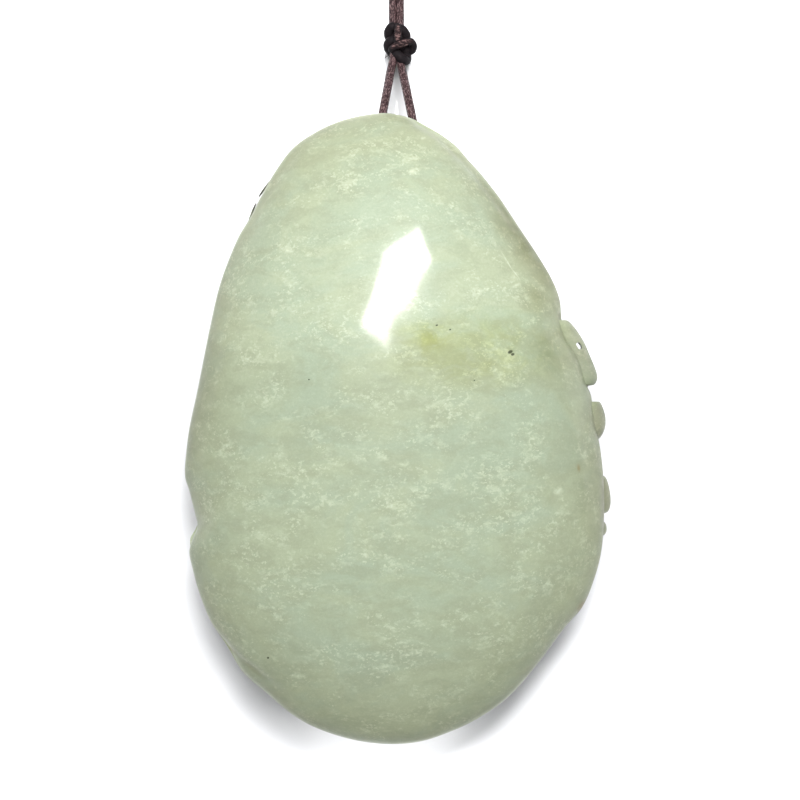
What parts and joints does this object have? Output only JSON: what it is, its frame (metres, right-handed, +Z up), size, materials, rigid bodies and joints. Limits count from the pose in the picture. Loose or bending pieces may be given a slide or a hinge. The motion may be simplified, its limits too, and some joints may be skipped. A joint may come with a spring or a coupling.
{
  "type": "jade fish pendant",
  "caption": "Egg-shaped pale green jade pendant with a smooth domed back and a carved fish and lotus face, lying face down on a knotted brown cord.",
  "frame": {"origin": "on the table under the middle of the stone, which lies on its carved face", "axes": "+Z up from the table through the smooth back, +Y towards the cord end of the stone, +X to the right as the back is seen with the cord at the top"},
  "size_m": [0.0535, 0.1192, 0.022],
  "materials": {
    "jade": "polished, cloudy and slightly translucent",
    "cord": "braided satin cord",
    "knot": "tight dark braided cord"
  },
  "bodies": {
    "root": {"jade_pendant": "jade", "cord_left": "cord", "cord_right": "cord", "lead_left": "cord", "lead_right": "cord", "tail_left": "cord", "tail_right": "cord", "cord_coil": "cord", "pendant_knot": "knot", "end_knot": "knot", "coil_tie_left": "knot", "coil_tie_right": "knot"}
  },
  "joints": []
}
